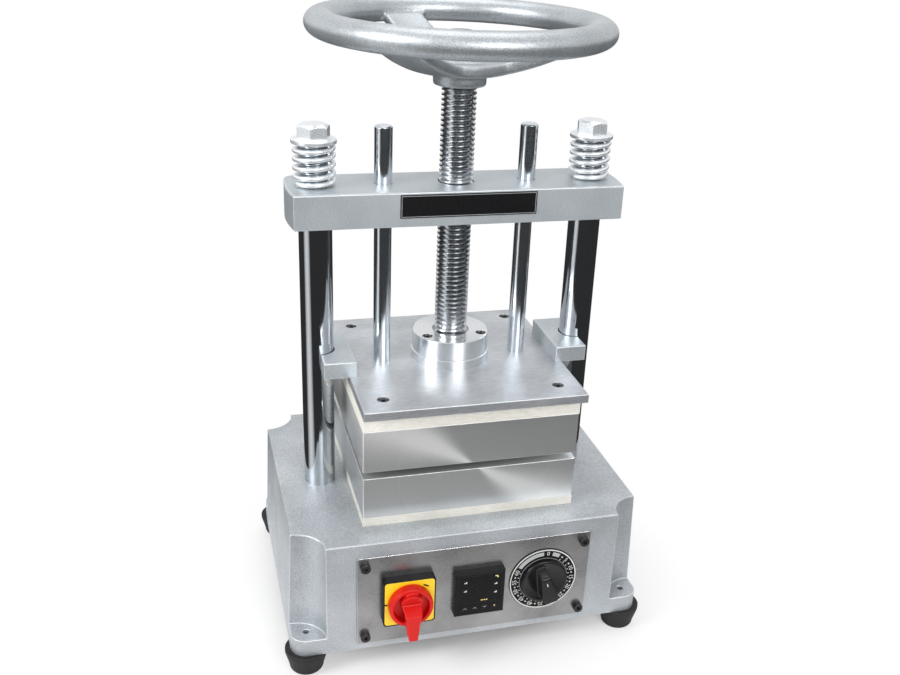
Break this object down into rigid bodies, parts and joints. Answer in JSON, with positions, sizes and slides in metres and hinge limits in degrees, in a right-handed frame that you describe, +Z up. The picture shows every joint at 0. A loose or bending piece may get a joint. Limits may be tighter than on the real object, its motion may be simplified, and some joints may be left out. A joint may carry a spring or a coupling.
{
  "type": "rubber mould vulcanising press",
  "caption": "Bench press that cures rubber moulds between two heated platens, closed by a handwheel screw through a sprung crossbeam, with switch, temperature controller and timer",
  "frame": {"origin": "On the bench under the middle of the four bench bolt holes in the feet", "axes": "+X to the operator's right, +Y from the control panel to the back, +Z up along the spindle"},
  "size_m": [0.356, 0.3105, 0.583],
  "materials": {
    "cast_silver": "fine-grained silver cast finish",
    "black_rubber": "matt rubber",
    "stainless_sheet": "brushed along its length",
    "grey_sheet": "plain grey paint",
    "black_steel": "blackened cap screws",
    "zinc_steel": "bright zinc plate",
    "black_plastic": "moulded black plastic",
    "yellow_plastic": "moulded yellow plastic",
    "red_plastic": "moulded red plastic",
    "dark_window": "smoked window",
    "polished_steel": "hard chrome, polished",
    "turned_steel": "cut thread, oiled",
    "satin_aluminium": "milled and lightly brushed",
    "cream_board": "pressed insulating board",
    "bronze": "turned bronze",
    "black_label": "bare black label"
  },
  "bodies": {
    "frame": {"base_casting": "cast_silver", "rubber_feet": "black_rubber", "bottom_cover": "grey_sheet", "small_screws": "zinc_steel", "front_panel": "stainless_sheet", "panel_screws": "black_steel", "switch_housing": "black_plastic", "switch_plate": "yellow_plastic", "switch_contact_block": "black_plastic", "controller_case": "black_plastic", "controller_window": "dark_window", "controller_clip": "black_plastic", "timer_dial": "black_plastic", "timer_body": "black_plastic", "cord_gland": "black_plastic", "solid_state_relay": "black_plastic", "terminal_strip": "black_plastic", "columns": "polished_steel", "column_nuts": "zinc_steel", "spring_left": "zinc_steel", "spring_right": "zinc_steel", "column_bolts": "zinc_steel", "spring_washers": "zinc_steel", "lower_board": "cream_board", "lower_platen": "satin_aluminium", "lower_heaters": "turned_steel", "lower_probe": "turned_steel", "lower_platen_screws": "black_steel"},
    "beam": {"crossbeam": "satin_aluminium", "spindle_nut": "bronze", "nut_grub_screw": "black_steel", "column_bushes": "bronze", "rod_bushes": "bronze", "beam_label": "black_label"},
    "press_head": {"upper_board": "cream_board", "upper_platen": "satin_aluminium", "upper_heaters": "turned_steel", "upper_probe": "turned_steel", "top_plate": "satin_aluminium", "top_plate_screws": "black_steel", "fork_left": "satin_aluminium", "fork_right": "satin_aluminium", "fork_screws": "black_steel", "guide_rods": "polished_steel", "guide_rod_nuts": "zinc_steel", "flange_lower": "polished_steel", "flange_upper": "polished_steel", "flange_screws": "black_steel", "thrust_bearing": "turned_steel"},
    "screw": {"spindle": "turned_steel", "handwheel": "cast_silver", "wheel_key": "turned_steel", "wheel_nut_and_washer": "zinc_steel"},
    "switch_lever": {"switch_handle": "red_plastic"},
    "timer_setting": {"timer_knob": "black_plastic", "timer_shaft": "turned_steel"},
    "key_1": {"controller_key_1": "black_plastic"},
    "key_2": {"controller_key_2": "black_plastic"},
    "key_3": {"controller_key_3": "black_plastic"},
    "key_4": {"controller_key_4": "black_plastic"}
  },
  "joints": [
    {"name": "beam_lift", "type": "slide", "parent": "frame", "child": "beam", "axis": [0, 0, 1], "range_m": [0, 0.008], "stiffness_N_per_m": 55400, "springref_m": -0.004, "deforming": ["spring_left", "spring_right"]},
    {"name": "press_travel", "type": "slide", "parent": "beam", "child": "press_head", "axis": [0, 0, 1], "range_m": [-0.0068, 0.09]},
    {"name": "spindle_turn", "type": "hinge", "parent": "press_head", "child": "screw", "pos_m": [0, -0.008, 0.5], "axis": [0, 0, 1], "range_deg": [-544, 7200]},
    {"name": "switch_turn", "type": "hinge", "parent": "frame", "child": "switch_lever", "pos_m": [-0.0654, -0.15, 0.0777], "axis": [0, 1, 0], "range_deg": [0, 90]},
    {"name": "timer_turn", "type": "hinge", "parent": "frame", "child": "timer_setting", "pos_m": [0.067, -0.145, 0.0777], "axis": [0, 1, 0], "range_deg": [0, 300]},
    {"name": "key_1_press", "type": "slide", "parent": "frame", "child": "key_1", "axis": [0, 1, 0], "range_m": [0, 0.0005], "stiffness_N_per_m": 2000, "springref_m": -0.0002},
    {"name": "key_2_press", "type": "slide", "parent": "frame", "child": "key_2", "axis": [0, 1, 0], "range_m": [0, 0.0005], "stiffness_N_per_m": 2000, "springref_m": -0.0002},
    {"name": "key_3_press", "type": "slide", "parent": "frame", "child": "key_3", "axis": [0, 1, 0], "range_m": [0, 0.0005], "stiffness_N_per_m": 2000, "springref_m": -0.0002},
    {"name": "key_4_press", "type": "slide", "parent": "frame", "child": "key_4", "axis": [0, 1, 0], "range_m": [0, 0.0005], "stiffness_N_per_m": 2000, "springref_m": -0.0002}
  ],
  "couplings": [
    {"joint": "press_travel", "follows": "spindle_turn", "m_per_rad": 0.0007162}
  ]
}
